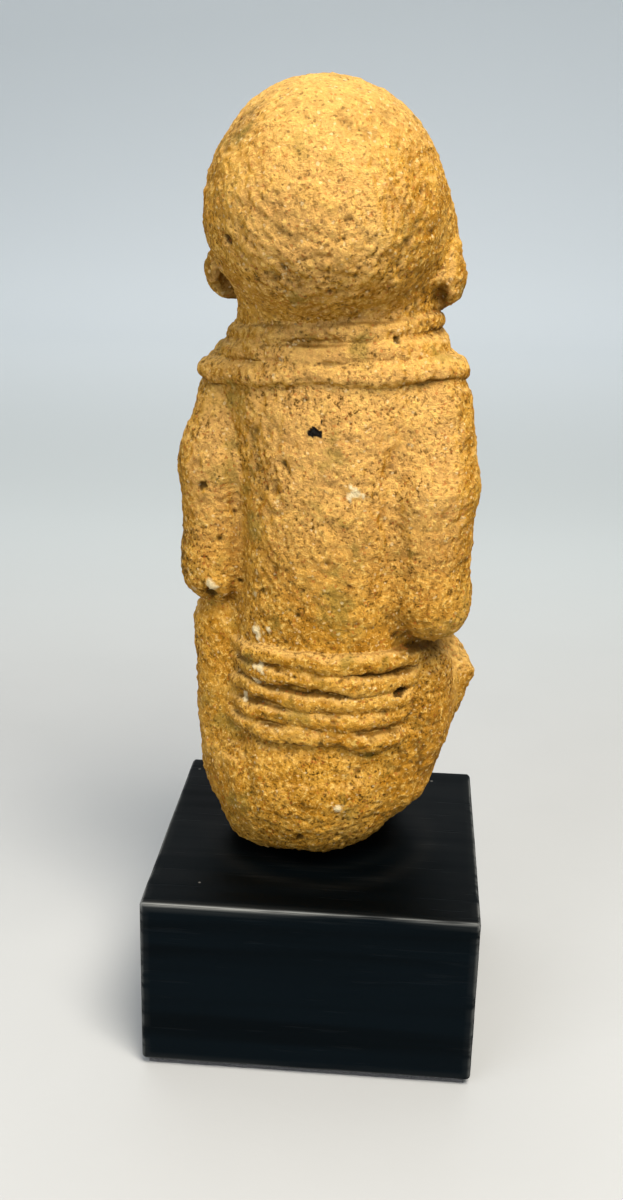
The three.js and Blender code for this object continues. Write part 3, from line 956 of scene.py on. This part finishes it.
def wooden_block():
    """The block: arrises rubbed round, and a pale line along them that is wear, with painted highlight added
    on the top one on the side of the figure's back.
    """
    half = (BLOCK_HIGH - BLOCK_LOW) / 2
    middle = (BLOCK_HIGH + BLOCK_LOW) / 2
    points, faces = rounded_box(half, ARRIS_RADIUS, BLOCK_STEP)
    core = np.clip(points, -(half - ARRIS_RADIUS), half - ARRIS_RADIUS)
    away = points - core
    away /= np.maximum(length(away), 1e-9)[:, None]
    edge = np.sort(half - np.abs(points), axis=1)[:, 1]
    rubbed = 0.10 * (1 + noise(points, 5, 51)) * np.exp(-edge / 0.5)
    points = core + away * (ARRIS_RADIUS - rubbed)[:, None]
    block = mesh_object("wooden_block", (points + middle) * MM, faces)
    # Pale edge line: wear along every arris, and painted highlight along the top arris on the side of the
    # figure's back.
    near_top = np.clip(1 - (half[2] - points[:, 2]) / 1.2, 0, 1)
    facing = np.clip(points[:, 1] / half[1], 0, 1) ** 8
    edge_wear_and_highlight = np.exp(-(edge / 0.45) ** 2) * (0.25 + 0.75 * near_top * (0.3 + 0.7 * facing))
    set_attribute(block.data, "edge", np.clip(edge_wear_and_highlight, 0, 1))
    ring = np.hypot(points[:, 0], points[:, 1])
    scuff = np.exp(-((ring - 17.5) / 1.6) ** 2) + 0.6 * np.exp(-((ring - 12) / 1.2) ** 2)
    set_attribute(block.data, "scuff", 0.6 * scuff * (points[:, 2] > half[2] - 0.2))
    block.data.materials.append(wood_material())
    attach(block, "base")
    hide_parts("base_block")


def felt_pad():
    low, high = (np.array(corner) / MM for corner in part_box("base_felt"))
    half = (high - low) / 2
    points, faces = rounded_box(half, FELT_ROUNDING, FELT_STEP)
    rim = np.clip((np.abs(points[:, :2]).max(axis=1) - half[0] + 1) / 1, 0, 1)
    points[:, :2] *= 1 + (0.004 * noise(points, 0.9, 61) * rim)[:, None]
    pad = mesh_object("felt_pad", (points + (low + high) / 2) * MM, faces)
    pad.data.materials.append(felt_material())
    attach(pad, "base")
    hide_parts("base_felt")


def finish_fitting(node, material):
    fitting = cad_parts[node]
    for slot in fitting.material_slots:
        slot.material = material


# ---- Camera, light and floor ----

# The camera looks down a little on the figure's back.
CAMERA_PLACE = Vector((-0.01147, 0.199006, 0.13548))
CAMERA_RIGHT = Vector((-0.99671, -0.07766, 0.02319))
CAMERA_UP = Vector((0.04654, -0.31412, 0.94824))
SENSOR = 36.0
LENS = 40.46


def make_camera():
    data = bpy.data.cameras.new("camera")
    data.sensor_width = SENSOR
    data.lens = LENS
    camera = bpy.data.objects.new("camera", data)
    bpy.context.collection.objects.link(camera)
    turn = Matrix((CAMERA_RIGHT, CAMERA_UP, CAMERA_RIGHT.cross(CAMERA_UP))).transposed().to_4x4()
    camera.matrix_world = Matrix.Translation(CAMERA_PLACE) @ turn
    bpy.context.scene.camera = camera


def area_light(name, place, size, power, colour="#ffffff"):
    data = bpy.data.lights.new(name, "AREA")
    data.size = size
    data.energy = power
    data.color = linear(colour)[:3]
    light = bpy.data.objects.new(name, data)
    bpy.context.collection.objects.link(light)
    light.location = place
    aim = Vector((0, 0, 0.08)) - Vector(place)
    light.rotation_euler = aim.to_track_quat("-Z", "Y").to_euler()


def make_world():
    world = bpy.data.worlds.new("studio")
    world.use_nodes = True
    background = world.node_tree.nodes["Background"]
    background.inputs["Color"].default_value = linear("#d4dade")
    background.inputs["Strength"].default_value = 0.55
    bpy.context.scene.world = world
    bpy.context.scene.view_settings.view_transform = "Standard"


def make_floor():
    """A sheet of paper that lies flat under the block and sweeps up far behind it."""
    front, back, turn, top, half_width = 1.6, -0.8, 0.6, 1.6, 2.5
    angles = np.linspace(0, math.pi / 2, 25)
    profile = [(front, 0.0)] + [(back - turn * math.sin(a), turn * (1 - math.cos(a))) for a in angles]
    profile.append((back - turn, top))
    corners = np.array([[x, y, z] for y, z in profile for x in (-half_width, half_width)])
    starts = np.arange(len(profile) - 1)[:, None] * 2
    floor = mesh_object("floor", corners, starts + np.array([[0, 2, 3, 1]]))
    paper = Shader("pale_paper", "#d5d7d6", 0.8, **{"Specular IOR Level": 0.2})
    behind = paper.add("ShaderNodeSeparateXYZ", {"Vector": paper.place}).outputs["Y"]
    # Painted light: the paper is painted darker near the block, where the lamps are close, and paler farther
    # off, where their light has fallen away.
    near = paper.mix(paper.noise(0.03, 3), "#a6a8a8", "#abadad")
    far = paper.mix(paper.span(behind, -0.3, -1.0), "#b6bcbd", "#f2f8fb")
    middle = paper.mix(paper.span(behind, -0.08, -0.3), near, far)
    paper.connect("Base Color", paper.mix(paper.span(behind, 0.35, 0.8), middle, "#f2f8fb"))
    paper.bump(paper.noise(0.002, 4), 0.0001, 0.3)
    floor.data.materials.append(paper.material)


make_camera()
make_world()
area_light("key", (-0.13, 0.25, 0.49), 0.24, 4.9, "#fff6ea")
area_light("fill", (0.45, 0.55, 0.40), 0.5, 2.6, "#f6f8ff")
area_light("back", (0.1, -0.45, 0.8), 0.8, 3.4)
make_floor()
clay_figure(clay_material())
wooden_block()
felt_pad()
finish_fitting("mounting_pin", steel_material())
finish_fitting("socket_sleeve", brass_material())
finish_fitting("socket_fill", plaster_material())
